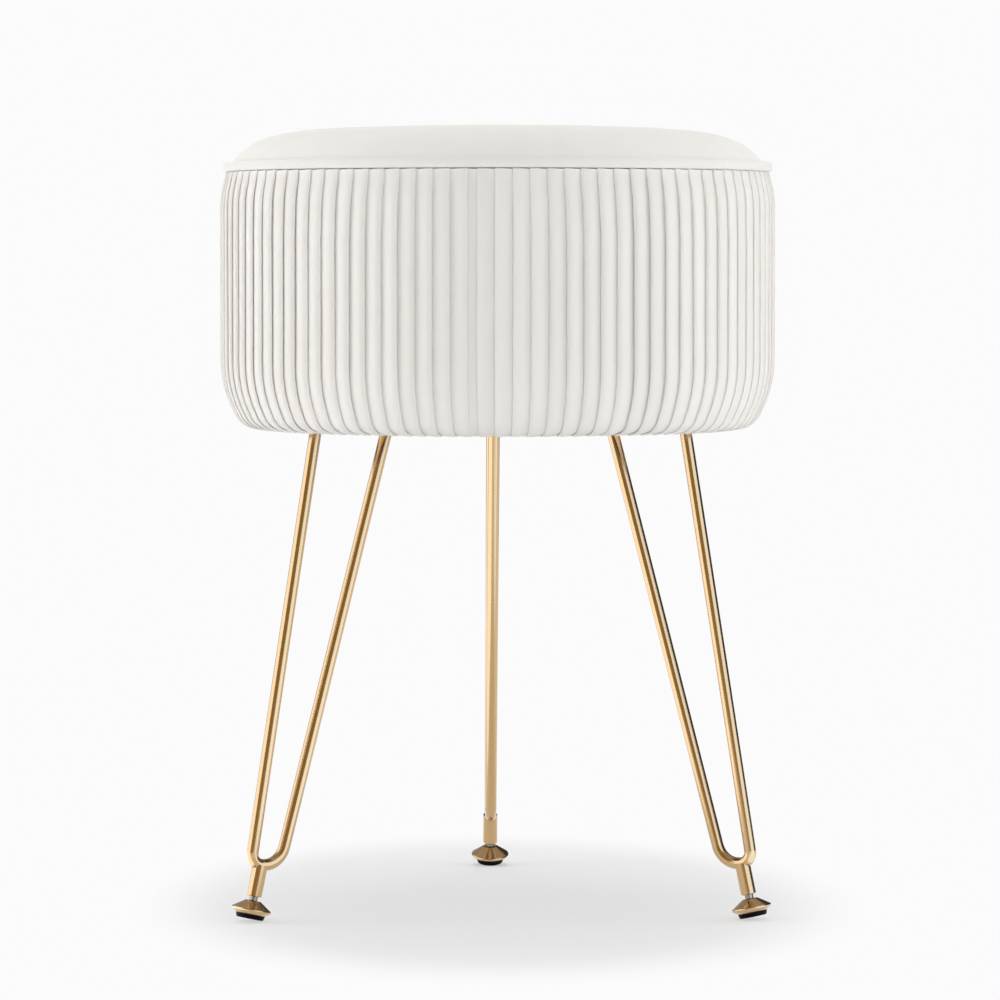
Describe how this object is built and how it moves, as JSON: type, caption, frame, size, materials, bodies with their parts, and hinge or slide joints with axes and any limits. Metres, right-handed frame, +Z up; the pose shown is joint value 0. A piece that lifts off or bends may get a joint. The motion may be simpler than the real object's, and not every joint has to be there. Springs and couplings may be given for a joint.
{
  "type": "vanity stool",
  "caption": "Round storage vanity stool: pleated velvet drum, lift-off domed cushion lid with a welt, radial gold hairpin legs and levelling foot pads that tilt.",
  "frame": {"origin": "on the floor, under the middle of the drum", "axes": "+Z up along the drum's axis, -Y to the front where the pleats' seam is, +X to the right seen from the front"},
  "size_m": [0.3299, 0.3441, 0.4638],
  "materials": {
    "ivory_velvet": "matte",
    "foam": "matte",
    "plywood": "matte",
    "lining_cloth": "matte",
    "dust_cloth": "matte",
    "satin_gold": "satin",
    "zinc_steel": "satin",
    "black_rubber": "matte"
  },
  "bodies": {
    "stool_frame": {"pleated_cover": "ivory_velvet", "drum_padding": "foam", "drum_wall": "plywood", "drum_base_board": "plywood", "drum_lining": "lining_cloth", "dust_cloth": "dust_cloth", "leg_screws": "zinc_steel", "tee_nuts": "zinc_steel", "hairpin_rod_left": "satin_gold", "leg_plate_left": "satin_gold", "foot_sleeve_left": "satin_gold", "hairpin_rod_right": "satin_gold", "leg_plate_right": "satin_gold", "foot_sleeve_right": "satin_gold", "hairpin_rod_back": "satin_gold", "leg_plate_back": "satin_gold", "foot_sleeve_back": "satin_gold"},
    "lid": {"lid_cover": "ivory_velvet", "lid_foam": "foam", "lid_board": "plywood", "lid_welt": "ivory_velvet", "lid_lining": "lining_cloth", "lid_locating_disc": "plywood", "lid_screws": "zinc_steel"},
    "stud_left": {"levelling_stud_left": "zinc_steel"},
    "pad_left": {"pad_cap_left": "satin_gold", "pad_sole_left": "black_rubber"},
    "stud_right": {"levelling_stud_right": "zinc_steel"},
    "pad_right": {"pad_cap_right": "satin_gold", "pad_sole_right": "black_rubber"},
    "stud_back": {"levelling_stud_back": "zinc_steel"},
    "pad_back": {"pad_cap_back": "satin_gold", "pad_sole_back": "black_rubber"}
  },
  "joints": [
    {"name": "lid_lift", "type": "slide", "parent": "stool_frame", "child": "lid", "axis": [0, 0, 1], "range_m": [0, 0.25]},
    {"name": "foot_left_screw", "type": "slide", "parent": "stool_frame", "child": "stud_left", "axis": [-0.1963, -0.1133, -0.974], "range_m": [0, 0.005]},
    {"name": "foot_left_tilt", "type": "hinge", "parent": "stud_left", "child": "pad_left", "pos_m": [-0.14498, -0.08371, 0.00854], "axis": [0.5, -0.866, 0], "range_deg": [-14, 14]},
    {"name": "foot_right_screw", "type": "slide", "parent": "stool_frame", "child": "stud_right", "axis": [0.1963, -0.1133, -0.974], "range_m": [0, 0.005]},
    {"name": "foot_right_tilt", "type": "hinge", "parent": "stud_right", "child": "pad_right", "pos_m": [0.14498, -0.08371, 0.00854], "axis": [0.5, 0.866, 0], "range_deg": [-14, 14]},
    {"name": "foot_back_screw", "type": "slide", "parent": "stool_frame", "child": "stud_back", "axis": [0, 0.2267, -0.974], "range_m": [0, 0.005]},
    {"name": "foot_back_tilt", "type": "hinge", "parent": "stud_back", "child": "pad_back", "pos_m": [0, 0.16741, 0.00854], "axis": [-1, 0, 0], "range_deg": [-14, 14]}
  ]
}
